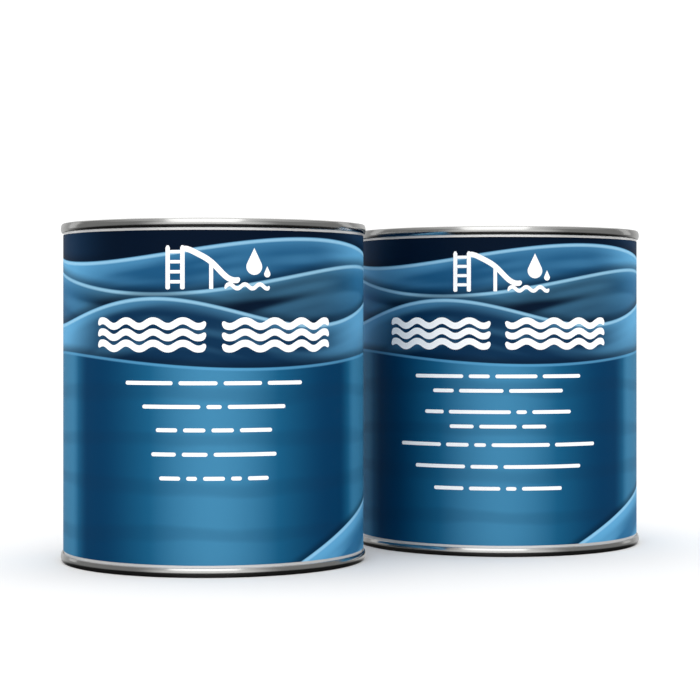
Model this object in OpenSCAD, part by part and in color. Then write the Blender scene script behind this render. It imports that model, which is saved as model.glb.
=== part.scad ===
// Two friction-lid metal cans, one behind the other: a two-part coating kit.
// Millimetres, +Z up. The origin is on the floor, midway between the two cans.
// Every can is made of tinplate sheet, drawn as a centreline that is given its
// thickness and turned about the can's axis.

/* [Can] */
// Height of one can over both seams
can_height = 118.5; // [90:0.5:140]
// Diameter over the double seams
seam_diameter = 108; // [100:0.5:120]
// Thickness of the tinplate
plate = 0.25; // [0.22:0.01:0.28]

/* [Double seams] */
// Height of a double seam
seam_height = 3.3; // [3.0:0.1:3.8]
// Free gap between neighbouring layers in a seam
layer_gap = 0.08; // [0.06:0.01:0.09]
// Bend radius of the seam's outer edge
rim_bend = 0.4; // [0.35:0.05:0.5]
// Room for sealing compound above the body's flange
seal_room = 0.3; // [0.2:0.05:0.4]

/* [Top ring] */
// Depth of the ring's shelf below the rim
shelf_depth = 4; // [3.5:0.1:5]
// Radius of the groove's outer wall
groove_outer = 46.4; // [45:0.1:47]
// Radius of the groove's inner wall
groove_inner = 43; // [41.5:0.1:43.5]
// Depth of the groove below the rim
groove_depth = 9.8; // [8.5:0.1:12]
// Depth of the mouth's rolled lip below the rim
lip_depth = 5.2; // [5:0.1:6]
// Radius of the roll at the mouth
lip_roll = 0.8; // [0.6:0.05:1]

/* [Lid] */
// Free gap between the lid's plug and the groove's outer wall
plug_gap = 0.05; // [0.03:0.01:0.1]
// Free gap between the lid's plug and the groove's inner wall
plug_inner_gap = 0.15; // [0.1:0.01:0.3]
// Clear height under the lid's plug, above the groove's floor
plug_foot_gap = 0.35; // [0.2:0.05:0.6]
// Depth of the pry curl's top below the rim
curl_top_depth = 1; // [0.5:0.1:1.5]
// Radius of the pry curl
curl_roll = 0.9; // [0.7:0.05:1]
// Depth of the lid's centre panel below the rim
panel_depth = 4.6; // [4.4:0.1:4.8]
// Drop of the sunk ring in the lid's panel
panel_step = 0.7; // [0.4:0.05:0.8]

/* [Bottom end] */
// Height of the bottom panel above the floor
end_lift = 4; // [3.6:0.1:5]
// Drop of the two sunk rings in the bottom panel
end_step = 0.7; // [0.4:0.05:0.9]

/* [Label and contents] */
// Thickness of the paper label
label_plate = 0.13; // [0.1:0.01:0.2]
// Bare metal between a seam and the label
bare_strip = 0.7; // [0.4:0.1:2]
// Length of the label's overlap at the back of the can
label_lap = 10; // [6:1:20]
// Height of the liquid's surface above the floor
fill_level = 100; // [40:1:104]

/* [Placing] */
// Sideways distance between the two cans' axes
pair_x = 105; // [100:1:130]
// Front-to-back distance between the two cans' axes
pair_y = 56; // [50:1:80]
// Turn of the front can that points its label at the viewer
front_turn = 4; // [-15:1:15]
// Turn of the rear can that points its label at the viewer
rear_turn = -4; // [-15:1:15]

/* [Hidden] */

// Round faces use this many segments a turn
turn_fn = 96;
// Points in a quarter turn of a bend
bend_steps = 5;

// Radii of the seam's five layers, from the outside in, as sheet centrelines
layer_pitch = plate + layer_gap;
outer_wall = seam_diameter / 2 - plate / 2;
body_hook = outer_wall - layer_pitch;
end_hook = body_hook - layer_pitch;
body_wall = end_hook - layer_pitch;
chuck_wall = body_wall - layer_pitch;

// How far the tip of each hook stays clear of the bend it points at
end_hook_clear = 0.15;
body_hook_clear = 0.1;

// Depths inside a seam, measured from the rim's face
rim_centre = plate / 2 + rim_bend;
flange_bend = 2 * plate + seal_room + layer_pitch;
fold_centre = seam_height - plate / 2 - layer_pitch;
end_hook_tip = flange_bend + end_hook_clear;
body_hook_tip = fold_centre - body_hook_clear;

// Other bends
shelf_bend = 0.6;
groove_lip_bend = 0.8;
groove_bend = 1;
step_width = 1;

// Angles at which the lid's pry curl starts and ends, and the mouth's roll ends
curl_start = 120;
curl_end = -180;
lip_end = -250;

// The sealing bead: its clearance, the angle it spans to each side of the
// flange's crown, and the width of its top as a share of its foot
seal_clear = 0.03;
seal_spread = 45;
seal_top_share = 0.6;

// The lid's plug
plug_outer = groove_outer - plate - plug_gap;
plug_inner = groove_inner + plate + plug_inner_gap;
plug_depth = groove_depth - plate - plug_foot_gap;

// The bottom panel and the lid's panel, as radii of their steps
end_ring_outer = 47;
end_ring_inner = 42;
end_disc = 30;
lid_ring_outer = 39;
lid_ring_inner = 24;

// The label and the liquid
body_outer = body_wall + plate / 2;
body_inner = body_wall - plate / 2;
label_clear = 0.03;
label_inner = body_outer + label_clear;
label_low = seam_height + bare_strip;
label_high = can_height - seam_height - bare_strip;
lap_angle = label_lap / label_inner * 180 / PI;
liquid_clear = 0.12;
liquid_floor = end_lift + plate;

// The inside lap of the body's side weld, at the back of the can
weld_width = 1.6;
weld_raise = 0.08;
weld_low = 6;
weld_high = can_height - 12;
weld_angle = weld_width / body_inner * 180 / PI;
back_angle = 90;

// Points along an arc
function arc(centre_r, centre_z, radius, from, to, steps = bend_steps) = [
    for (i = [0 : steps])
        let (angle = from + (to - from) * i / steps)
            [centre_r + radius * cos(angle), centre_z + radius * sin(angle)]
];

// Turns a list of depths below a rim into heights above the floor
function from_top(points) = [for (p = points) [p[0], can_height - p[1]]];
function reversed(points) = [for (i = [len(points) - 1 : -1 : 0]) points[i]];

function unit(v) = v / norm(v);
function ahead(points, i) = unit(points[min(i + 1, len(points) - 1)] - points[min(i, len(points) - 2)]);
function behind(points, i) = unit(points[max(i, 1)] - points[max(i - 1, 0)]);

// One side of a sheet, half a thickness away from its centreline
function side(points, half) = [
    for (i = [0 : len(points) - 1])
        let (along = unit(ahead(points, i) + behind(points, i)))
        let (reach = half / (along * ahead(points, i)))
            points[i] + reach * [-along[1], along[0]]
];

// A gentle step in a panel, from one depth to another
function step_down(radius, from, to) = [[radius + step_width / 2, from], [radius - step_width / 2, to]];

// The flange that the body hooks into the seam, from its tip to the wall
function body_flange() = concat(
    [[body_hook, body_hook_tip]],
    arc(end_hook, flange_bend, layer_pitch, 0, -180, 2 * bend_steps)
);

// The curl of an end or a ring, from the tip of its hook to its chuck wall
function seam_curl() = concat(
    [[end_hook, end_hook_tip]],
    arc(body_hook, fold_centre, layer_pitch, 180, 0, 2 * bend_steps),
    arc(outer_wall - rim_bend, rim_centre, rim_bend, 0, -90),
    arc(chuck_wall + rim_bend, rim_centre, rim_bend, -90, -180)
);

// A sheet of plate turned about the can's axis
module turned_sheet(points) {
    rotate_extrude($fn = turn_fn)
        polygon(concat(side(points, plate / 2), reversed(side(points, -plate / 2))));
}

// The body: a welded tinplate tube with a hooked flange at each end
module can_body() {
    wall = concat(from_top(body_flange()), reversed(body_flange()));
    color("lightgray") {
        turned_sheet(wall);
        rotate([0, 0, back_angle - weld_angle / 2])
            rotate_extrude(angle = weld_angle, $fn = turn_fn)
                translate([body_inner - weld_raise, weld_low])
                    square([weld_raise + plate / 2, weld_high - weld_low]);
    }
}

// The bottom end: seamed on, with a sunk panel that has two pressed rings
module can_bottom_end() {
    panel = concat(
        seam_curl(),
        arc(chuck_wall - shelf_bend, end_lift - shelf_bend, shelf_bend, 0, 90),
        step_down(end_ring_outer, end_lift, end_lift - end_step),
        step_down(end_ring_inner, end_lift - end_step, end_lift),
        step_down(end_disc, end_lift, end_lift - end_step),
        [[0, end_lift - end_step]]
    );
    color("silver") turned_sheet(panel);
}

// The top ring: seamed on, with the groove that grips the lid and a rolled mouth
module can_top_ring() {
    ring = concat(
        seam_curl(),
        arc(chuck_wall - shelf_bend, shelf_depth - shelf_bend, shelf_bend, 0, 90),
        arc(groove_outer + groove_lip_bend, shelf_depth + groove_lip_bend, groove_lip_bend, -90, -180),
        arc(groove_outer - groove_bend, groove_depth - groove_bend, groove_bend, 0, 90),
        arc(groove_inner + groove_bend, groove_depth - groove_bend, groove_bend, 90, 180),
        arc(groove_inner - lip_roll, lip_depth + lip_roll, lip_roll, 0, lip_end, 3 * bend_steps)
    );
    color("gainsboro") turned_sheet(from_top(ring));
}

// The lid: a pry curl, the plug that sits in the groove, and a pressed panel
module can_lid() {
    plate_line = concat(
        arc(plug_outer + curl_roll, curl_top_depth + curl_roll, curl_roll, curl_start, curl_end, 4 * bend_steps),
        arc(plug_outer - groove_bend, plug_depth - groove_bend, groove_bend, 0, 90),
        arc(plug_inner + groove_bend, plug_depth - groove_bend, groove_bend, 90, 180),
        arc(plug_inner - groove_lip_bend, panel_depth + groove_lip_bend, groove_lip_bend, 0, -90),
        step_down(lid_ring_outer, panel_depth, panel_depth + panel_step),
        step_down(lid_ring_inner, panel_depth + panel_step, panel_depth),
        [[0, panel_depth]]
    );
    color("whitesmoke") turned_sheet(from_top(plate_line));
}

// A bead of sealing compound between the body's flange and the rim
module seal_bead() {
    bead_floor = layer_pitch + plate / 2 + seal_clear;
    rise = flange_bend - plate - seal_clear;
    half_width = bead_floor * sin(seal_spread);
    half_top = half_width * seal_top_share;
    rotate_extrude($fn = turn_fn)
        translate([end_hook, flange_bend])
            polygon(concat(
                arc(0, 0, bead_floor, -90 - seal_spread, -90 + seal_spread),
                [[half_top, -rise], [-half_top, -rise]]
            ));
}

module can_bottom_seal() {
    color("dimgray") seal_bead();
}

module can_top_seal() {
    color("dimgray") translate([0, 0, can_height]) mirror([0, 0, 1]) seal_bead();
}

// The paper label, wrapped once round, with its end lapped over at the back
module can_label() {
    reach = 2 * label_inner;
    spread = reach * tan(lap_angle / 2);
    color("steelblue")
        translate([0, 0, label_low])
            linear_extrude(label_high - label_low)
                difference() {
                    union() {
                        circle(r = label_inner + label_plate, $fn = turn_fn);
                        intersection() {
                            circle(r = label_inner + 2 * label_plate, $fn = turn_fn);
                            polygon([[0, 0], [spread, reach], [-spread, reach]]);
                        }
                    }
                    circle(r = label_inner, $fn = turn_fn);
                }
}

// The liquid in the can, as a plain solid
module can_coating() {
    color("aliceblue")
        translate([0, 0, liquid_floor])
            cylinder(h = fill_level - liquid_floor, r = body_inner - liquid_clear, $fn = turn_fn);
}

module at_front() {
    translate([-pair_x / 2, -pair_y / 2, 0]) rotate([0, 0, front_turn]) children();
}

module at_rear() {
    translate([pair_x / 2, pair_y / 2, 0]) rotate([0, 0, rear_turn]) children();
}

at_front() can_body();  // front_body
at_front() can_bottom_end();  // front_bottom_end
at_front() can_bottom_seal();  // front_bottom_seal
at_front() can_top_ring();  // front_top_ring
at_front() can_top_seal();  // front_top_seal
at_front() can_lid();  // front_lid
at_front() can_label();  // front_label
at_front() can_coating();  // front_coating
at_rear() can_body();  // rear_body
at_rear() can_bottom_end();  // rear_bottom_end
at_rear() can_bottom_seal();  // rear_bottom_seal
at_rear() can_top_ring();  // rear_top_ring
at_rear() can_top_seal();  // rear_top_seal
at_rear() can_lid();  // rear_lid
at_rear() can_label();  // rear_label
at_rear() can_coating();  // rear_coating
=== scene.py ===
"""Two friction-lid cans with printed paper labels, on a pale studio floor."""
import math

import bmesh
import bpy
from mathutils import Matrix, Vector


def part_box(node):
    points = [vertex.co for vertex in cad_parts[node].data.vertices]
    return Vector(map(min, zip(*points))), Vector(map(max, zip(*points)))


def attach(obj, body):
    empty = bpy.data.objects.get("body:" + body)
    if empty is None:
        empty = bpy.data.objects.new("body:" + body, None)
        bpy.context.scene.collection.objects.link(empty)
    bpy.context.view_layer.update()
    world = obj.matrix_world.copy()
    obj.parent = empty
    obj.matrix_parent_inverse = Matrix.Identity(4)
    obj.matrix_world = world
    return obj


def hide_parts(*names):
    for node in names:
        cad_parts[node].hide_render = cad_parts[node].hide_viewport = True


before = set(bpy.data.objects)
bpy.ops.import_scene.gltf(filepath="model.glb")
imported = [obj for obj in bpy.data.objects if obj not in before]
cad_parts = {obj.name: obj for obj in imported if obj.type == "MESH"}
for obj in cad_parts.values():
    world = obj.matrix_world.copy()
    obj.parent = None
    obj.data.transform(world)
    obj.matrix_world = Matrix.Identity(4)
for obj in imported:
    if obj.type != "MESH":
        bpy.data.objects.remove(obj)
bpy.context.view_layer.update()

MM = 0.001
CANS = ("front", "rear")
LABEL_TURN = {"front": math.radians(4), "rear": math.radians(-4)}

# Sheet thicknesses and seams, as the CAD model has them
PLATE = 0.25 * MM
LAYER_PITCH = 0.33 * MM
SEAM_HEIGHT = 3.3 * MM
PAPER = 0.13 * MM
# Thickness of the white print, and segments in a turned piece
INK = 0.03 * MM
ROUND_STEPS = 192

# ---------------------------------------------------------------- sizes


def measure(can):
    """The sizes of one can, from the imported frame. Heights are above the floor, radii from its axis."""
    low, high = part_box(can + "_bottom_end")
    ring_low, ring_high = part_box(can + "_top_ring")
    label_low, label_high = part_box(can + "_label")
    lid_low, lid_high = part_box(can + "_lid")
    liquid_low, liquid_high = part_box(can + "_coating")
    return {
        "name": can,
        "centre": Vector(((low.x + high.x) / 2, (low.y + high.y) / 2, 0)),
        "turn": LABEL_TURN[can],
        "height": ring_high.z,
        "seam_radius": (high.x - low.x) / 2,
        "ring_floor": ring_low.z,
        "label_radius": (label_high.x - label_low.x) / 2 - PAPER,
        "label_low": label_low.z,
        "label_high": label_high.z,
        "lid_radius": (lid_high.x - lid_low.x) / 2,
        "lid_low": lid_low.z,
        "lid_high": lid_high.z,
        "liquid_radius": (liquid_high.x - liquid_low.x) / 2,
        "liquid_low": liquid_low.z,
        "liquid_high": liquid_high.z,
    }


# ---------------------------------------------------------------- node trees


class Net:
    """A node tree, with short calls for its nodes. Values may be numbers or sockets."""

    def __init__(self, tree):
        self.tree = tree

    def add(self, kind, **settings):
        node = self.tree.nodes.new(kind)
        for key, value in settings.items():
            setattr(node, key, value)
        return node

    def join(self, value, socket):
        if isinstance(value, bpy.types.NodeSocket):
            self.tree.links.new(value, socket)
        else:
            socket.default_value = value

    def math(self, operation, a, b=0.0):
        node = self.add("ShaderNodeMath", operation=operation)
        self.join(a, node.inputs[0])
        self.join(b, node.inputs[1])
        return node.outputs[0]

    def plus(self, a, b):
        return self.math("ADD", a, b)

    def minus(self, a, b):
        return self.math("SUBTRACT", a, b)

    def times(self, a, b):
        return self.math("MULTIPLY", a, b)

    def distance(self, x, y):
        """How far (x, y) is from the origin."""
        return self.math("SQRT", self.plus(self.times(x, x), self.times(y, y)))

    def vector(self, operation, a, b):
        node = self.add("ShaderNodeVectorMath", operation=operation)
        self.join(a, node.inputs[0])
        self.join(b, node.inputs[1])
        return node.outputs[0]

    def split(self, vector):
        node = self.add("ShaderNodeSeparateXYZ")
        self.join(vector, node.inputs[0])
        return node.outputs

    def vector_from(self, x, y, z):
        node = self.add("ShaderNodeCombineXYZ")
        for value, socket in zip((x, y, z), node.inputs):
            self.join(value, socket)
        return node.outputs[0]

    def smooth(self, value, low, high):
        """0 below low, 1 above high, and a smooth rise between. low may be the larger one."""
        node = self.add("ShaderNodeMapRange", interpolation_type="SMOOTHSTEP")
        flip = low > high
        self.join(value, node.inputs["Value"])
        node.inputs["From Min"].default_value = high if flip else low
        node.inputs["From Max"].default_value = low if flip else high
        node.inputs["To Min"].default_value = 1.0 if flip else 0.0
        node.inputs["To Max"].default_value = 0.0 if flip else 1.0
        return node.outputs["Result"]

    def line(self, distance, width, soft):
        """1 on a line where distance is 0, half a width to each side, with soft edges."""
        return self.smooth(self.math("ABSOLUTE", distance), width / 2 + soft, width / 2)

    def noise(self, vector, scale, detail=3.0, distortion=0.0):
        node = self.add("ShaderNodeTexNoise", normalize=True)
        self.join(vector, node.inputs["Vector"])
        node.inputs["Scale"].default_value = scale
        node.inputs["Detail"].default_value = detail
        node.inputs["Distortion"].default_value = distortion
        return node.outputs[0]

    def mix(self, share, a, b, blend="MIX"):
        node = self.add("ShaderNodeMix", data_type="RGBA", blend_type=blend, clamp_factor=True)
        colours = [socket for socket in node.inputs if socket.type == "RGBA"]
        self.join(share, node.inputs[0])
        self.join(a, colours[0])
        self.join(b, colours[1])
        return [socket for socket in node.outputs if socket.type == "RGBA"][0]

    def ramp(self, value, stops):
        """A colour ramp. stops are (place, colour)."""
        node = self.add("ShaderNodeValToRGB")
        ramp = node.color_ramp
        while len(ramp.elements) < len(stops):
            ramp.elements.new(0.5)
        for element, (place, colour) in zip(ramp.elements, stops):
            element.position = place
            element.color = colour
        self.join(value, node.inputs[0])
        return node.outputs[0]


def colour(code):
    """A display colour such as 0x3a7fa5, as the linear colour that nodes use."""
    parts = [(code >> shift & 255) / 255 for shift in (16, 8, 0)]
    return tuple(p / 12.92 if p <= 0.04045 else ((p + 0.055) / 1.055) ** 2.4 for p in parts) + (1.0,)


def new_material(name):
    """An empty material, its net and its shader."""
    material = bpy.data.materials.new(name)
    material.use_nodes = True
    material.node_tree.nodes.clear()
    net = Net(material.node_tree)
    shader = net.add("ShaderNodeBsdfPrincipled")
    net.join(shader.outputs[0], net.add("ShaderNodeOutputMaterial").inputs["Surface"])
    return material, net, shader


def bump(net, shader, height, strength, distance):
    node = net.add("ShaderNodeBump")
    node.inputs["Strength"].default_value = strength
    node.inputs["Distance"].default_value = distance
    net.join(height, node.inputs["Height"])
    net.join(node.outputs[0], shader.inputs["Normal"])


def from_axis(net):
    """The place as seen from the can's own axis."""
    return net.add("ShaderNodeAttribute", attribute_name="from_axis").outputs["Vector"]


# ---------------------------------------------------------------- finishes


# Fineness of the tinplate's rolling lines
FINE_GRAIN = 5200.0


def tinplate(name, lines, tint=0xcfcfcd, roughness=0.2, mirror=1.0):
    """Bright tinplate with fine rolling lines, either straight across or round the can's axis.

    A mirror below 1 gives a satin plate, which also scatters light.
    """
    material, net, shader = new_material(name)
    place = from_axis(net)
    x, y, z = net.split(place)
    if lines == "straight":
        along = net.vector_from(net.times(x, 60.0), net.times(y, FINE_GRAIN), net.times(z, 60.0))
    else:
        radius = net.distance(x, y)
        turn = net.math("ARCTAN2", x, y)
        sideways = net.times(net.math("SINE", turn), 3.0)
        along = net.vector_from(net.times(radius, FINE_GRAIN), net.times(z, FINE_GRAIN), sideways)
    grain = net.noise(along, 1.0, 3.0)
    cloud = net.noise(place, 55.0, 4.0)
    light = net.mix(cloud, colour(tint - 0x0a0a0a), colour(tint + 0x0c0c0c))
    tone = net.mix(net.times(grain, 0.25), light, colour(tint - 0x262626))
    net.join(tone, shader.inputs["Base Color"])
    shader.inputs["Metallic"].default_value = mirror
    rough = net.plus(roughness - 0.07, net.times(grain, 0.1))
    net.join(net.plus(rough, net.times(cloud, 0.06)), shader.inputs["Roughness"])
    bump(net, shader, grain, 0.08, 0.02 * MM)
    return material


def seam_compound():
    """Dark, matt sealing compound."""
    material, net, shader = new_material("seam_compound")
    place = net.add("ShaderNodeTexCoord").outputs["Object"]
    grain = net.noise(place, 1800.0, 4.0)
    net.join(net.mix(grain, colour(0x3c3d3a), colour(0x575853)), shader.inputs["Base Color"])
    shader.inputs["Roughness"].default_value = 0.7
    bump(net, shader, grain, 0.3, 0.03 * MM)
    return material


def wet_coating():
    """The liquid: a milky, glossy coating with faint streaks from stirring."""
    material, net, shader = new_material("wet_coating")
    place = from_axis(net)
    x, y, _ = net.split(place)
    radius = net.distance(x, y)
    turn = net.plus(net.math("ARCTAN2", x, y), net.times(radius, 60.0))
    east, north = (net.times(net.math(wave, turn), 1.2) for wave in ("SINE", "COSINE"))
    streaks = net.noise(net.vector_from(east, north, net.times(radius, 90.0)), 1.6, 3.0, 0.6)
    milk = net.ramp(streaks, ((0.3, colour(0xdfe8ee)), (0.7, colour(0xf3f6f7))))
    net.join(milk, shader.inputs["Base Color"])
    shader.inputs["Roughness"].default_value = 0.08
    shader.inputs["Subsurface Weight"].default_value = 0.15
    shader.inputs["Subsurface Scale"].default_value = 1.5 * MM
    bump(net, shader, streaks, 0.05, 0.3 * MM)
    return material


def white_ink():
    """White printing ink under the label's varnish."""
    material, net, shader = new_material("white_ink")
    place = net.add("ShaderNodeAttribute", attribute_name="label_map").outputs["Vector"]
    white = net.ramp(net.noise(place, 260.0, 3.0), ((0.25, colour(0xeef1f3)), (0.6, colour(0xfdfdfd))))
    net.join(white, shader.inputs["Base Color"])
    shader.inputs["Roughness"].default_value = 0.45
    shader.inputs["Specular IOR Level"].default_value = 0.2
    return material


# The label's printed blues, from dark to pale
NAVY, DEEP, SEA, MID, LIGHT, PALE = 0x021226, 0x0a2f4e, 0x1a527a, 0x2f709b, 0x60a8d4, 0xa6d8f2
WATER = ((0.0, 0x00375c), (0.5, 0x15597f), (1.0, 0x4084aa))
# Length of the print once round the can, and of the plain water's faint waves, in millimetres
ROUND = 333.3
WAVE_SPACING = 15.5
# Broad printed swells, from the back one to the front one: middle height and rise in millimetres,
# waves in a turn, place of a crest, and the blues of its middle and of its flanks
SWELLS = (
    (108.5, 4.0, 2, 34, SEA, LIGHT),
    (99.0, 5.0, 2, 64, NAVY, MID),
    (88.0, 4.5, 3, -20, DEEP, LIGHT),
)
# The plain water's edge and the low swell at the label's foot, in the same order
FOOT_SWELL = (71.5, 2.5, 2, -72)
CORNER_SWELL = (-2.0, 27.0, 1, 102)


def label_print_and_painted_light(net):
    """The label's printed picture: generic blue swells over plain water blue, with painted light,
    reflections and shade on the plain water.
    """
    place = net.add("ShaderNodeUVMap", uv_map="label_map").outputs[0]
    across, up, _ = net.split(place)
    u = net.times(across, 100.0)
    v = net.times(up, 100.0)
    aside = net.math("ABSOLUTE", u)

    def lay(share, strength, under, code):
        """Lays a colour over the picture so far."""
        return net.mix(net.times(share, strength), under, colour(code))

    def depth_below(middle, rise, waves, crest):
        """How far a point lies below a swell's edge."""
        turn = net.times(net.minus(u, crest), waves * 2 * math.pi / ROUND)
        edge = net.plus(middle, net.times(net.math("COSINE", turn), rise))
        return net.minus(edge, v)

    def silk(depth, layer):
        """Soft streaks that follow a swell's edge."""
        stretched = net.vector_from(net.times(u, 0.018), net.times(depth, 0.14), layer)
        return net.smooth(net.noise(stretched, 1.0, 1.0), 0.42, 0.66)

    def cover(picture, depth, body):
        """Lays a swell over the picture, with a soft shadow behind its edge."""
        picture = lay(net.smooth(depth, -3.5, 0.0), 0.6, picture, NAVY)
        return net.mix(net.smooth(depth, -0.2, 0.2), picture, body)

    back = net.minus(1.0, net.times(net.smooth(aside, 98.0, 150.0), 0.85))
    flanks = net.times(net.smooth(aside, 34.0, 72.0), back)
    picture = net.mix(flanks, colour(NAVY), colour(DEEP))
    for layer, (middle, rise, waves, crest, centre_blue, flank_blue) in enumerate(SWELLS):
        depth = depth_below(middle, rise, waves, crest)
        body = net.mix(flanks, colour(centre_blue), colour(flank_blue))
        body = lay(silk(depth, layer * 3.7), 0.3, body, LIGHT)
        body = lay(net.smooth(depth, 4.0, 16.0), 0.4, body, DEEP)
        body = lay(net.smooth(depth, 5.5, 0.0), 0.35, body, LIGHT)
        body = lay(net.line(net.minus(depth, 0.7), 0.3, 0.7), 0.6, body, PALE)
        picture = cover(picture, depth, body)

    # Plain water: a lighter middle, partly printed and partly painted light, painted reflection bands
    # near the sides and painted shade between, with faint level waves
    # Painted reflections: the light bands near both sides stand for soft-box reflections
    sides = net.times(net.smooth(aside, 49.0, 61.0), net.smooth(aside, 125.0, 85.0))
    glow = net.math("MAXIMUM", net.smooth(aside, 44.0, 0.0), net.times(sides, 0.86))
    swell = net.noise(net.vector_from(net.times(across, 1.5), net.times(up, 5.0), 0.0), 1.0, 2.0)
    level = net.plus(v, net.times(swell, 11.0))
    ripple = net.smooth(net.math("SINE", net.times(level, 2 * math.pi / WAVE_SPACING)), 0.2, 1.0)
    water = lay(ripple, 0.2, net.ramp(glow, [(share, colour(code)) for share, code in WATER]), DEEP)
    foot = depth_below(*FOOT_SWELL)
    water = lay(net.line(net.minus(foot, 0.5), 0.3, 0.6), 0.55, water, LIGHT)
    picture = cover(picture, foot, water)

    # A light swell at the foot of the label, to the right
    corner = depth_below(*CORNER_SWELL)
    foam = net.mix(net.smooth(corner, 0.0, 9.0), colour(LIGHT), colour(MID))
    foam = lay(silk(corner, 20.0), 0.7, foam, LIGHT)
    foam = lay(net.line(net.minus(corner, 0.8), 0.4, 0.8), 0.6, foam, PALE)
    return cover(picture, corner, foam)


def printed_paper():
    """The label: printed, varnished paper."""
    material, net, shader = new_material("printed_label_paper")
    picture = label_print_and_painted_light(net)
    place = net.add("ShaderNodeUVMap", uv_map="label_map").outputs[0]
    fibre = net.noise(place, 900.0, 4.0)
    shade = net.minus(1.0, net.times(fibre, 0.06))
    shaded = net.mix(1.0, picture, net.vector_from(shade, shade, shade), "MULTIPLY")
    net.join(shaded, shader.inputs["Base Color"])
    net.join(net.plus(0.42, net.times(fibre, 0.1)), shader.inputs["Roughness"])
    shader.inputs["Coat Weight"].default_value = 0.02
    shader.inputs["Coat Roughness"].default_value = 0.15
    shader.inputs["Specular IOR Level"].default_value = 0.03
    bump(net, shader, fibre, 0.06, 0.02 * MM)
    return material


# ---------------------------------------------------------------- turned sheet metal


def arc(centre_r, centre_z, radius, start, stop, steps=10):
    """Points along an arc in the radius-height plane, angles in degrees."""
    points = []
    for i in range(steps + 1):
        angle = math.radians(start + (stop - start) * i / steps)
        points.append((centre_r + radius * math.cos(angle), centre_z + radius * math.sin(angle)))
    return points


def bulged(start, stop, sagitta, steps=12):
    """Points from start to stop on a shallow curve that bulges to the side with the larger radius."""
    points = []
    for i in range(steps + 1):
        t = i / steps
        bulge = sagitta * 4 * t * (1 - t)
        points.append((start[0] + (stop[0] - start[0]) * t + bulge, start[1] + (stop[1] - start[1]) * t))
    return points


def press_step(radius, start, stop, width=1.4 * MM, steps=6):
    """A soft pressed step in a panel, from one height to another, going inwards."""
    points = []
    for i in range(steps + 1):
        t = i / steps
        ease = t * t * (3 - 2 * t)
        points.append((radius + width / 2 - width * t, start + (stop - start) * ease))
    return points


def with_supports(points, gap=0.04 * MM):
    """Adds a point close to each end of every long straight run, so that flats shade flat."""
    kept = [points[0]]
    for a, b in zip(points, points[1:]):
        run = math.dist(a, b)
        if run > 8 * gap:
            for t in (gap / run, 1 - gap / run):
                kept.append((a[0] + (b[0] - a[0]) * t, a[1] + (b[1] - a[1]) * t))
        if run > 1e-9:
            kept.append(b)
    return kept


def sheet_outline(points, thickness=PLATE):
    """The closed outline of a sheet, from its centreline."""
    sides = [[], []]
    last = len(points) - 1
    for i, point in enumerate(points):
        before = Vector(points[max(i, 1)]) - Vector(points[max(i - 1, 0)])
        after = Vector(points[min(i + 1, last)]) - Vector(points[min(i, last - 1)])
        along = (before.normalized() + after.normalized()).normalized()
        reach = thickness / 2 / max(along.dot(after.normalized()), 0.5)
        for side, sign in zip(sides, (1, -1)):
            side.append((max(point[0] - sign * reach * along.y, 0), point[1] + sign * reach * along.x))
    return sides[0] + sides[1][::-1]


def finish_mesh(bm, name, materials, sharp=40):
    """Turns a bmesh into an object with outward faces and smooth shading up to a sharp angle."""
    bmesh.ops.remove_doubles(bm, verts=bm.verts, dist=1e-7)
    bmesh.ops.recalc_face_normals(bm, faces=bm.faces)
    mesh = bpy.data.meshes.new(name)
    bm.to_mesh(mesh)
    bm.free()
    mesh.shade_smooth()
    mesh.set_sharp_from_angle(angle=math.radians(sharp))
    piece = bpy.data.objects.new(name, mesh)
    bpy.context.scene.collection.objects.link(piece)
    for material in materials:
        mesh.materials.append(material)
    return piece


def store_from_axis(piece, can):
    """Keeps each point's place as seen from the can's own axis, for the patterns that follow the can."""
    values = []
    turn_cos, turn_sin = math.cos(-can["turn"]), math.sin(-can["turn"])
    for vertex in piece.data.vertices:
        away = vertex.co - can["centre"]
        x = away.x * turn_cos - away.y * turn_sin
        y = away.x * turn_sin + away.y * turn_cos
        values.extend((x, y, away.z))
    attribute = piece.data.attributes.new("from_axis", "FLOAT_VECTOR", "POINT")
    attribute.data.foreach_set("vector", values)


def turned(name, can, outline, material, steps=ROUND_STEPS, ripple=None):
    """Turns a closed outline of (radius, height) points about the can's axis."""
    bm = bmesh.new()
    rings = []
    for radius, height in outline:
        if radius < 1e-7:
            rings.append([bm.verts.new(can["centre"] + Vector((0, 0, height)))])
            continue
        ring = []
        for i in range(steps):
            angle = 2 * math.pi * i / steps
            r, z = ripple(radius, height, angle) if ripple else (radius, height)
            away = Vector((r * math.sin(angle + can["turn"]), -r * math.cos(angle + can["turn"]), z))
            ring.append(bm.verts.new(can["centre"] + away))
        rings.append(ring)
    for a, b in zip(rings, rings[1:] + rings[:1]):
        if len(a) == 1 and len(b) == 1:
            continue
        for i in range(steps):
            j = (i + 1) % steps
            corners = [a[i % len(a)], a[j % len(a)], b[j % len(b)], b[i % len(b)]]
            corners = [c for k, c in enumerate(corners) if c not in corners[:k]]
            bm.faces.new(corners)
    piece = finish_mesh(bm, name, [material])
    store_from_axis(piece, can)
    return piece


# ---------------------------------------------------------------- the can's own pieces


def seam_layers(can):
    """Centreline radii of the double seam's five layers, outermost first."""
    outer = can["seam_radius"] - PLATE / 2
    return [outer - i * LAYER_PITCH for i in range(5)]


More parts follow.
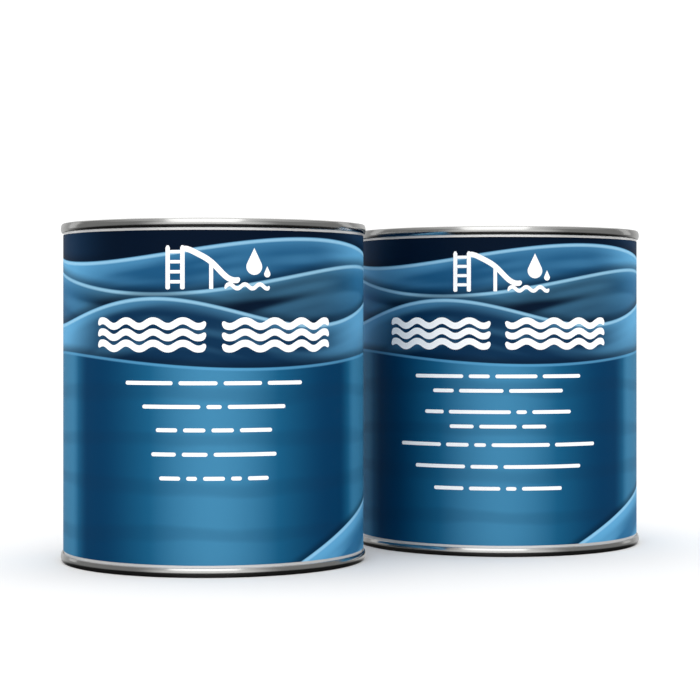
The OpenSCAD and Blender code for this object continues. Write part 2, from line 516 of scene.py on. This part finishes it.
def seam_curl(can):
    """The curl of an end or a ring, from its hook's tip over the rim to the chuck wall, as depths."""
    outer, body_hook, end_hook, _, chuck = seam_layers(can)
    bend = 0.5 * MM
    top = PLATE / 2
    fold = SEAM_HEIGHT - PLATE / 2 - LAYER_PITCH
    wall_top = top + bend
    hook_tip, bulge = 1.5 * MM, 0.22 * MM
    return (
        [(end_hook, hook_tip)]
        + arc(body_hook - bulge / 2, fold, LAYER_PITCH - bulge / 2, 180, 20, 14)
        + bulged((outer - bulge, fold), (outer - bulge, wall_top), bulge)
        + arc(outer - bulge - bend, wall_top, bend, -20, -90, 8)
        + arc(chuck + bend, wall_top, bend, -90, -180, 8)
    )


def top_down(can, points):
    return [(r, can["height"] - depth) for r, depth in points]


def seam_droop(can, from_top):
    """The small thickening of a seam where it crosses the body's side weld, at the back."""
    half_width = math.radians(4)

    def ripple(radius, height, angle):
        from_back = abs(angle - math.pi)
        depth = can["height"] - height if from_top else height
        on_seam = depth <= SEAM_HEIGHT and radius >= can["seam_radius"] - 1.2 * MM
        if from_back > 3 * half_width or not on_seam:
            return radius, height
        swell = math.exp(-((from_back / half_width) ** 2))
        low = max(0.0, min(1.0, (depth - 1.5 * MM) / (1.8 * MM)))
        droop = 0.22 * MM * swell * low
        return radius + 0.05 * MM * swell * low, height - droop if from_top else height + droop

    return ripple


def make_ring(can, material):
    """The top ring: shelf, groove for the lid's plug, and the rolled lip of the mouth."""
    chuck = seam_layers(can)[4]
    shelf = 4.0 * MM
    groove_floor = can["height"] - can["ring_floor"] - PLATE / 2
    groove_out, groove_in = 46.4 * MM, 43.0 * MM
    lip_depth, lip_roll = 5.2 * MM, 0.8 * MM
    bend = 0.6 * MM
    points = (
        seam_curl(can)
        + arc(chuck - bend, shelf - bend, bend, 0, 90)
        + arc(groove_out + lip_roll, shelf + lip_roll, lip_roll, -90, -180)
        + arc(groove_out - MM, groove_floor - MM, MM, 0, 90)
        + arc(groove_in + MM, groove_floor - MM, MM, 90, 180)
        + arc(groove_in - lip_roll, lip_depth + lip_roll, lip_roll, 0, -250, 24)
    )
    outline = sheet_outline(with_supports(top_down(can, points)))
    droop = seam_droop(can, from_top=True)
    return turned(can["name"] + "_ring_pressing", can, outline, material, ripple=droop)


def make_lid(can, material):
    """The lid: pry curl, plug and a centre panel with pressed steps."""
    roll = 0.9 * MM
    plug_out = can["lid_radius"] - PLATE / 2 - 2 * roll
    plug_in = 43.4 * MM
    curl_top = can["height"] - can["lid_high"] + PLATE / 2
    plug_floor = can["height"] - can["lid_low"] - PLATE / 2
    panel, sunk = 4.6 * MM, 5.3 * MM
    crown = 0.25 * MM
    points = (
        arc(plug_out + roll, curl_top + roll, roll, 120, -180, 30)
        + arc(plug_out - MM, plug_floor - MM, MM, 0, 90)
        + arc(plug_in + MM, plug_floor - MM, MM, 90, 180)
        + arc(plug_in - 0.8 * MM, panel + 0.8 * MM, 0.8 * MM, 0, -90)
        + press_step(39 * MM, panel, sunk)
        + press_step(24 * MM, sunk, panel)
        + [(12 * MM, panel - crown * 0.75), (6 * MM, panel - crown * 0.94), (0, panel - crown)]
    )
    outline = sheet_outline(with_supports(top_down(can, points)))
    return turned(can["name"] + "_lid_pressing", can, outline, material)


def make_bottom_end(can, material):
    """The bottom end: seamed on, with a sunk panel and two pressed rings."""
    chuck = seam_layers(can)[4]
    lift, sunk = 4.0 * MM, 3.3 * MM
    bend = 0.6 * MM
    points = (
        seam_curl(can)
        + arc(chuck - bend, lift - bend, bend, 0, 90)
        + press_step(47 * MM, lift, sunk)
        + press_step(42 * MM, sunk, lift)
        + press_step(30 * MM, lift, sunk)
        + [(0, sunk)]
    )
    outline = sheet_outline(with_supports(points))
    droop = seam_droop(can, from_top=False)
    return turned(can["name"] + "_end_pressing", can, outline, material, ripple=droop)


def make_body(can, material):
    """The welded tube, with its hooked flanges and the lap of the side weld."""
    _, body_hook, end_hook, wall, _ = seam_layers(can)
    flange_bend, hook_tip = 1.13 * MM, 2.75 * MM
    flange = [(body_hook, hook_tip)] + arc(end_hook, flange_bend, LAYER_PITCH, 0, -180, 14)
    points = top_down(can, flange) + flange[::-1]
    outline = sheet_outline(with_supports(points))

    lap, half_width, end_gap = 0.08 * MM, math.radians(1.2), 6 * MM

    def weld_lap(radius, height, angle):
        inside = radius < wall and end_gap < height < can["height"] - end_gap
        on_weld = inside and abs(angle - math.pi) < half_width
        return (radius - lap if on_weld else radius), height

    return turned(can["name"] + "_body_tube", can, outline, material, ripple=weld_lap)


def make_liquid(can, material):
    """The liquid coating, which climbs a little where it wets the wall."""
    radius, level, floor = can["liquid_radius"], can["liquid_high"], can["liquid_low"]
    # The surface lies a little lower away from the wall. Its rings crowd together near the wall
    dip, reach = 0.9 * MM, 1.6 * MM
    rings = [radius * i / 16 for i in range(17)] + [radius - gap * MM for gap in (2.4, 1.6, 1.0, 0.5)]
    surface = [(r, level - dip + dip * math.exp((r - radius) / reach)) for r in sorted(rings)]
    outline = surface + [(radius, floor), (0, floor)]
    return turned(can["name"] + "_liquid", can, outline, material)


# ---------------------------------------------------------------- flat shapes, wrapped round a can
# A flat shape is a list of strips. A strip is a list of (along, low, high): how far along the label,
# and the lowest and highest point there, in millimetres.


def bar(left, right, middle, thick, end_steps=6):
    """A straight bar with round ends."""
    half = thick / 2
    columns = []
    for i in range(end_steps + 1):
        angle = math.pi / 2 * i / end_steps
        columns.append((left + half - half * math.cos(angle), half * math.sin(angle)))
    inner = max(1, int((right - left - thick) / 1.5))
    for i in range(1, inner):
        columns.append((left + half + (right - left - thick) * i / inner, half))
    for i in range(end_steps + 1):
        angle = math.pi / 2 * (1 - i / end_steps)
        columns.append((right - half + half * math.cos(angle), half * math.sin(angle)))
    return [(u, middle - h, middle + h) for u, h in columns]


def ribbon(left, right, centre, thick, steps):
    """A band of even thickness with round ends that follows centre(along)."""
    half = thick / 2
    strip = []
    for i in range(steps + 1):
        # Columns crowd together towards both ends, where the ends are round
        u = left + (right - left) * (1 - math.cos(math.pi * i / steps)) / 2
        slope = (centre(u + 0.01) - centre(u - 0.01)) / 0.02
        from_end = min(u - left, right - u)
        round_off = math.sqrt(max(0.0, 1 - (1 - from_end / half) ** 2)) if from_end < half else 1
        h = half * round_off * math.sqrt(1 + slope * slope)
        strip.append((u, centre(u) - h, centre(u) + h))
    return strip


def droplet(along, middle, radius, tip, steps=24):
    """A drop with a round foot and a pointed tip."""
    touch_u = radius * math.sqrt(1 - (radius / tip) ** 2)
    touch_v = radius * radius / tip
    strip = []
    for i in range(steps + 1):
        x = -radius * math.cos(math.pi * i / steps)
        belly = math.sqrt(max(0.0, radius * radius - x * x))
        top = tip - abs(x) * (tip - touch_v) / touch_u if abs(x) < touch_u else belly
        strip.append((along + x, middle - belly, middle + top))
    return strip


def wave(left, right, middle, height, length, thick, steps=96):
    """A water line: an even wave with round ends."""
    def centre(u):
        return middle + height * math.cos(2 * math.pi * u / length)

    return ribbon(left, right, centre, thick, steps)


def slide_pictogram():
    """A plain water slide: ladder, deck, chute and water."""
    def chute(u):
        t = (u + 9) / 17
        return 108.2 - 10.2 * (t * t * (3 - 2 * t)) - 0.4 * math.sin(3 * math.pi * t)

    strips = [
        [(-16.2, 95.2, 108.6), (-15.8, 94.9, 109.4), (-15.1, 94.9, 109.4), (-14.7, 95.2, 108.6)],
        [(-11.2, 95.2, 108.6), (-10.8, 94.9, 109.4), (-10.1, 94.9, 109.4), (-9.7, 95.2, 108.6)],
        [(-1.6, 95.0, 103.4), (-0.3, 95.0, 102.6)],
        ribbon(-10.4, 8.6, chute, 1.9, 40),
    ]
    strips += [bar(-14.9, -11.0, 97.4 + 3.3 * i, 1.1) for i in range(4)]
    strips.append(wave(3.4, 18.8, 95.9, 0.7, 5.1, 1.3, 40))
    strips.append(droplet(13.4, 102.4, 2.7, 6.2))
    strips.append(droplet(17.9, 100.0, 1.1, 2.6, 12))
    return strips


def water_band():
    """Three bold water lines, in two groups."""
    strips = []
    for left, right in ((-43.5, -2.6), (2.6, 43.5)):
        for i in range(3):
            strips.append(wave(left, right, 76.2 + 3.7 * i, 0.95, 10.3, 2.3))
    return strips


def placeholder_line(height, half_width, pieces, thick=1.3, gap=2.0):
    """One line of plain dashes, centred. pieces are the dashes' relative lengths."""
    share = (2 * half_width - gap * (len(pieces) - 1)) / sum(pieces)
    strips = []
    left = -half_width
    for piece in pieces:
        strips.append(bar(left, left + piece * share, height, thick, 4))
        left += piece * share + gap
    return strips


# Height, half width and dashes of each line
PLACEHOLDER_LINES = {
    "front": ((64.0, 31, (4, 3, 3, 3)), (56.2, 24.5, (4, 1, 4)), (48.5, 19.6, (2, 2, 2, 3)),
              (40.5, 21.2, (2, 2, 5)), (32.6, 18.4, (2, 1, 2, 1, 2))),
    "rear": ((64.6, 31.5, (5, 2, 4, 4)), (59.4, 24.1, (2, 4, 5)), (51.8, 27.4, (2, 6, 1, 4)),
             (46.6, 17.6, (2, 3, 2)), (40.0, 38, (4, 2, 1, 5, 4)), (32.2, 31.5, (4, 2, 6)),
             (24.4, 23.7, (3, 3, 1, 4))),
}


def side_text_blocks():
    """Plain dashes for the small print on the label's sides, in two columns."""
    lengths = (30, 34, 31, 35, 28, 33, 20, 0, 32, 29, 34, 31, 18)
    strips = []
    for left in (-140, 103):
        for i, length in enumerate(lengths):
            if length:
                strips.append(bar(left, left + length, 62.5 - 2.7 * i, 0.9, 3))
    return strips


def flat_mesh(name, strips, lift=0.0):
    """A flat mesh of strips in the label's own plane, in metres."""
    bm = bmesh.new()
    for strip in strips:
        columns = [(bm.verts.new((u * MM, low * MM, lift)), bm.verts.new((u * MM, high * MM, lift)))
                   for u, low, high in strip]
        for (a, b), (c, d) in zip(columns, columns[1:]):
            bm.faces.new((a, c, d, b))
    bmesh.ops.remove_doubles(bm, verts=bm.verts, dist=1e-6)
    bmesh.ops.dissolve_degenerate(bm, edges=bm.edges, dist=1e-7)
    mesh = bpy.data.meshes.new(name)
    bm.to_mesh(mesh)
    bm.free()
    piece = bpy.data.objects.new(name, mesh)
    bpy.context.scene.collection.objects.link(piece)
    return piece


def label_flat(can, lap=10 * MM, columns=300, rows=40):
    """The label before it is wrapped: one end rises over the other, and the paper is a little uneven."""
    half = math.pi * can["label_radius"] + lap / 2
    lap_start = half - lap
    bm = bmesh.new()
    grid = []
    for i in range(columns + 1):
        u = -half + 2 * half * i / columns
        climb = max(0.0, min(1.0, (u - lap_start + 5 * MM) / (4 * MM)))
        column = []
        for j in range(rows + 1):
            t = j / rows
            v = can["label_low"] + (can["label_high"] - can["label_low"]) * t
            uneven = math.sin(u * 61 + 2 * math.sin(v * 47)) * math.sin(v * 83 + 1.3 * math.sin(u * 29))
            lift = (PAPER + 0.02 * MM) * climb * climb * (3 - 2 * climb) + 0.008 * MM * uneven
            column.append(bm.verts.new((u, v, lift)))
        grid.append(column)
    for a, b in zip(grid, grid[1:]):
        for j in range(rows):
            bm.faces.new((a[j], b[j], b[j + 1], a[j + 1]))
    mesh = bpy.data.meshes.new("label_flat")
    bm.to_mesh(mesh)
    bm.free()
    piece = bpy.data.objects.new("label_flat", mesh)
    bpy.context.scene.collection.objects.link(piece)
    return piece


def wrap_tree():
    """Geometry Nodes that give a flat shape its thickness and wrap it round a can."""
    tree = bpy.data.node_groups.new("wrap_round_can", "GeometryNodeTree")
    face = tree.interface
    face.new_socket(name="Flat shape", in_out="INPUT", socket_type="NodeSocketGeometry")
    for label in ("Radius", "Thickness", "Turn", "Centre X", "Centre Y"):
        face.new_socket(name=label, in_out="INPUT", socket_type="NodeSocketFloat")
    face.new_socket(name="Material", in_out="INPUT", socket_type="NodeSocketMaterial")
    face.new_socket(name="Wrapped", in_out="OUTPUT", socket_type="NodeSocketGeometry")
    net = Net(tree)
    inputs = net.add("NodeGroupInput").outputs

    place = net.add("GeometryNodeInputPosition").outputs[0]
    map_place = net.vector("MULTIPLY", place, (10, 10, 0))
    stored = net.add("GeometryNodeStoreNamedAttribute", data_type="FLOAT2", domain="CORNER")
    stored.inputs["Name"].default_value = "label_map"
    net.join(inputs["Flat shape"], stored.inputs["Geometry"])
    net.join(map_place, stored.inputs["Value"])

    raised = net.add("GeometryNodeExtrudeMesh", mode="FACES")
    raised.inputs["Individual"].default_value = False
    net.join(stored.outputs[0], raised.inputs["Mesh"])
    net.join(inputs["Thickness"], raised.inputs["Offset Scale"])
    under = net.add("GeometryNodeFlipFaces")
    net.join(stored.outputs[0], under.inputs[0])
    both = net.add("GeometryNodeJoinGeometry")
    net.join(raised.outputs[0], both.inputs[0])
    net.join(under.outputs[0], both.inputs[0])
    closed = net.add("GeometryNodeMergeByDistance")
    closed.inputs["Distance"].default_value = 1e-6
    net.join(both.outputs[0], closed.inputs[0])

    flat = net.split(place)
    radius = net.plus(inputs["Radius"], flat[2])
    angle = net.plus(net.math("DIVIDE", flat[0], inputs["Radius"]), inputs["Turn"])
    x = net.plus(inputs["Centre X"], net.times(radius, net.math("SINE", angle)))
    y = net.minus(inputs["Centre Y"], net.times(radius, net.math("COSINE", angle)))
    wrapped = net.add("GeometryNodeSetPosition")
    net.join(closed.outputs[0], wrapped.inputs["Geometry"])
    net.join(net.vector_from(x, y, flat[1]), wrapped.inputs["Position"])

    real = net.add("GeometryNodeRealizeInstances")
    net.join(wrapped.outputs[0], real.inputs[0])
    covered = net.add("GeometryNodeSetMaterial")
    net.join(real.outputs[0], covered.inputs["Geometry"])
    net.join(inputs["Material"], covered.inputs["Material"])
    net.join(covered.outputs[0], net.add("NodeGroupOutput").inputs[0])
    return tree


def wrap(flat, name, can, thickness, lift, material, tree):
    """Wraps a flat shape round a can and keeps the result as a plain mesh."""
    modifier = flat.modifiers.new("wrap", "NODES")
    modifier.node_group = tree
    values = {
        "Radius": can["label_radius"] + lift,
        "Thickness": thickness,
        "Turn": can["turn"],
        "Centre X": can["centre"].x,
        "Centre Y": can["centre"].y,
        "Material": material,
    }
    for item in tree.interface.items_tree:
        if item.in_out == "INPUT" and item.name in values:
            modifier[item.identifier] = values[item.name]
    bpy.context.view_layer.update()
    evaluated = flat.evaluated_get(bpy.context.evaluated_depsgraph_get())
    mesh = bpy.data.meshes.new_from_object(evaluated)
    mesh.name = name
    piece = bpy.data.objects.new(name, mesh)
    bpy.context.scene.collection.objects.link(piece)
    bpy.data.objects.remove(flat)
    mesh.shade_smooth()
    mesh.set_sharp_from_angle(angle=math.radians(40))
    return piece


# ---------------------------------------------------------------- the studio


def area_light(name, place, target, width, height, power, tone=(1, 1, 1)):
    lamp = bpy.data.lights.new(name, "AREA")
    lamp.shape = "RECTANGLE"
    lamp.size, lamp.size_y = width, height
    lamp.energy = power
    lamp.color = tone
    holder = bpy.data.objects.new(name, lamp)
    holder.location = place
    holder.rotation_mode = "QUATERNION"
    holder.rotation_quaternion = (Vector(target) - Vector(place)).to_track_quat("-Z", "Y")
    bpy.context.scene.collection.objects.link(holder)


# Brightness of the studio's far walls
WALL_GLOW = 1.0


def studio_floor():
    """A pale round floor that curves up into a wall on every side."""
    reach, sweep, top = 2.4, 1.2, 4.2
    line = [(0.0, 0.0), (0.4, 0.0), (0.8, 0.0), (reach - sweep, 0.0)]
    line += arc(reach - sweep, sweep, sweep, -90, 0, 16)[1:] + [(reach, top)]
    line += arc(reach - sweep, top, sweep, 0, 90, 10)[1:] + [(0.0, top + sweep)]
    bm = bmesh.new()
    steps = 96
    rings = []
    for radius, height in line:
        if radius == 0:
            rings.append([bm.verts.new((0, 0, height))])
            continue
        turns = [2 * math.pi * i / steps for i in range(steps)]
        rings.append([bm.verts.new((radius * math.cos(t), radius * math.sin(t), height)) for t in turns])
    for a, b in zip(rings, rings[1:]):
        for i in range(steps):
            j = (i + 1) % steps
            corners = [a[i % len(a)], b[i % len(b)], b[j % len(b)], a[j % len(a)]]
            bm.faces.new([c for k, c in enumerate(corners) if c not in corners[:k]])
    mesh = bpy.data.meshes.new("studio_floor")
    bm.to_mesh(mesh)
    bm.free()
    mesh.shade_smooth()
    floor = bpy.data.objects.new("studio_floor", mesh)
    bpy.context.scene.collection.objects.link(floor)
    material, net, shader = new_material("studio_white")
    place = net.add("ShaderNodeTexCoord").outputs["Object"]
    x, y, _ = net.split(place)
    away = net.distance(x, y)
    far = net.smooth(away, 0.2, 1.0)
    glow = net.times(far, WALL_GLOW)
    net.join(net.mix(far, (0.84, 0.84, 0.84, 1), (0.1, 0.1, 0.1, 1)), shader.inputs["Base Color"])
    shader.inputs["Roughness"].default_value = 0.9
    shader.inputs["Specular IOR Level"].default_value = 0.0
    shader.inputs["Emission Color"].default_value = (1, 1, 1, 1)
    net.join(glow, shader.inputs["Emission Strength"])
    mesh.materials.append(material)
    floor.visible_glossy = False


def studio_surround():
    """What the metal reflects: bright towards the viewer, grey to the sides, dark below."""
    world = bpy.data.worlds.new("studio_surround")
    world.use_nodes = True
    world.node_tree.nodes.clear()
    net = Net(world.node_tree)
    way = net.add("ShaderNodeTexCoord").outputs["Generated"]
    _, y, z = net.split(way)
    front = net.smooth(net.times(y, -1.0), 0.55, 0.98)
    back = net.smooth(y, 0.55, 0.98)
    level = net.plus(0.28, net.times(front, 0.85))
    level = net.plus(level, net.times(back, 0.45))
    zenith = net.times(net.smooth(z, 0.7, 0.98), 0.8)
    over = net.minus(net.smooth(z, 0.35, 0.75), zenith)
    level = net.plus(level, net.times(over, 0.7))
    under = net.smooth(z, -0.12, -0.26)
    level = net.times(level, net.minus(1.0, net.times(under, 0.95)))
    background = net.add("ShaderNodeBackground")
    net.join(level, background.inputs["Strength"])
    net.join(background.outputs[0], net.add("ShaderNodeOutputWorld").inputs[0])
    bpy.context.scene.world = world


def light_and_look(front_can):
    area_light("front_softbox", (-0.15, -1.75, 1.15), (0, 0, 0.06), 1.9, 1.3, 6)
    area_light("top_softbox", (0.0, 0.1, 1.9), (0, 0, 0.05), 1.8, 1.8, 8)
    area_light("left_strip", (-1.15, 0.75, 0.55), (0, 0, 0.06), 0.35, 1.2, 0.5)
    area_light("right_strip", (1.15, 0.75, 0.55), (0, 0, 0.06), 0.35, 1.2, 0.5)
    area_light("back_softbox", (0.0, 1.7, 1.2), (0, 0, 0.06), 1.9, 1.0, 3)

    # The camera stands level, a little above the cans' middle, where both labels face it
    lens = bpy.data.cameras.new("camera")
    lens.sensor_width = 36
    lens.lens = 99.8
    lens.shift_y = -0.045
    lens.clip_start = 0.01
    camera = bpy.data.objects.new("camera", lens)
    camera.location = front_can["centre"] + Vector((0.0484, -0.691, 0.0853))
    camera.rotation_euler = (math.pi / 2, 0, 0)
    bpy.context.scene.collection.objects.link(camera)
    bpy.context.scene.camera = camera
    bpy.context.scene.view_settings.view_transform = "Standard"


# ---------------------------------------------------------------- putting it together

studio_floor()
studio_surround()

seam_plate = tinplate("tinplate_seam", "round", 0xd6d6d4, 0.15)
lid_plate = tinplate("tinplate_lid", "straight", 0xd4d4d2, 0.18)
body_plate = tinplate("tinplate_body", "round", 0xeeeeee, 0.2, 0.4)
compound = seam_compound()
coating = wet_coating()
ink = white_ink()
paper = printed_paper()
tree = wrap_tree()

for can_name in CANS:
    can = measure(can_name)
    body, closure = can_name + "_can", can_name + "_closure"
    metal = (
        (make_ring(can, seam_plate), "_top_ring", "tinplate_ring", body),
        (make_bottom_end(can, seam_plate), "_bottom_end", "tinplate_end", body),
        (make_body(can, body_plate), "_body", "tinplate_body", body),
        (make_lid(can, lid_plate), "_lid", "tinplate_lid", closure),
        (make_liquid(can, coating), "_coating", "wet_coating", body),
    )
    for piece, node, slot, rides_on in metal:
        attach(piece, rides_on)
        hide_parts(can_name + node)
    label = wrap(label_flat(can), can_name + "_label_paper", can, PAPER, 0.0, paper, tree)
    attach(label, body)
    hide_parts(can_name + "_label")
    lines = [strip for height, half_width, parts in PLACEHOLDER_LINES[can_name]
             for strip in placeholder_line(height, half_width, parts)]
    marks = (
        ("_slide_pictogram", slide_pictogram()),
        ("_water_band", water_band()),
        ("_placeholder_lines", lines),
        ("_side_print", side_text_blocks()),
    )
    for name, strips in marks:
        flat = flat_mesh(name, strips)
        printed = wrap(flat, can_name + name, can, INK, PAPER, ink, tree)
        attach(printed, body)
    for node in ("_bottom_seal", "_top_seal"):
        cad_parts[can_name + node].data.materials.clear()
        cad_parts[can_name + node].data.materials.append(compound)

light_and_look(measure("front"))
